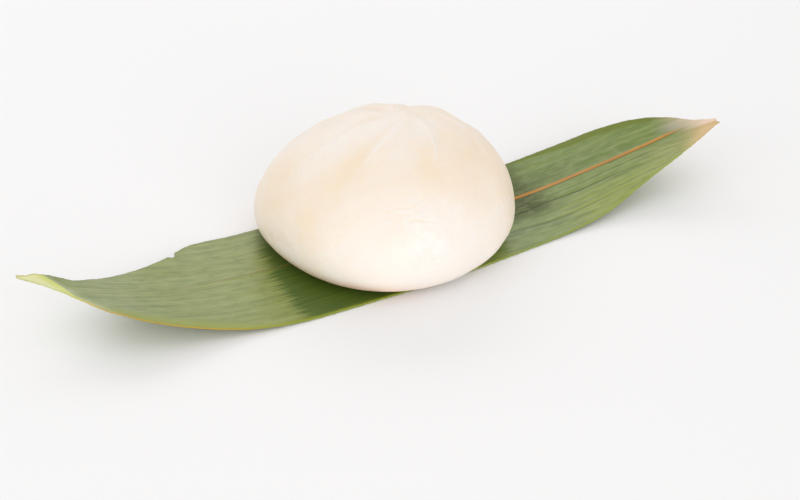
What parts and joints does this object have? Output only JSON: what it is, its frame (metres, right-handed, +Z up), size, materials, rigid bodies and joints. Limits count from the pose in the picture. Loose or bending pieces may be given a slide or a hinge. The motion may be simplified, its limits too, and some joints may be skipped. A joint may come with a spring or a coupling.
{
  "type": "steamed bun on a leaf",
  "caption": "Steamed dough bun, a flat-footed dome pleated round its crown, resting on one long pointed leaf whose ends curve upward.",
  "frame": {"origin": "middle of the whole's box in X and Y, on the surface that the leaf's flat middle lies on", "axes": "+X along the leaf towards its stalk end, +Y across the leaf, +Z up through the bun's crown"},
  "size_m": [0.29, 0.0958, 0.0522],
  "materials": {
    "steamed_dough": "soft matte skin of steamed dough",
    "bamboo_leaf": "satin leaf with fine lengthwise veins"
  },
  "bodies": {
    "root": {"bun": "steamed_dough", "leaf": "bamboo_leaf"}
  },
  "joints": []
}
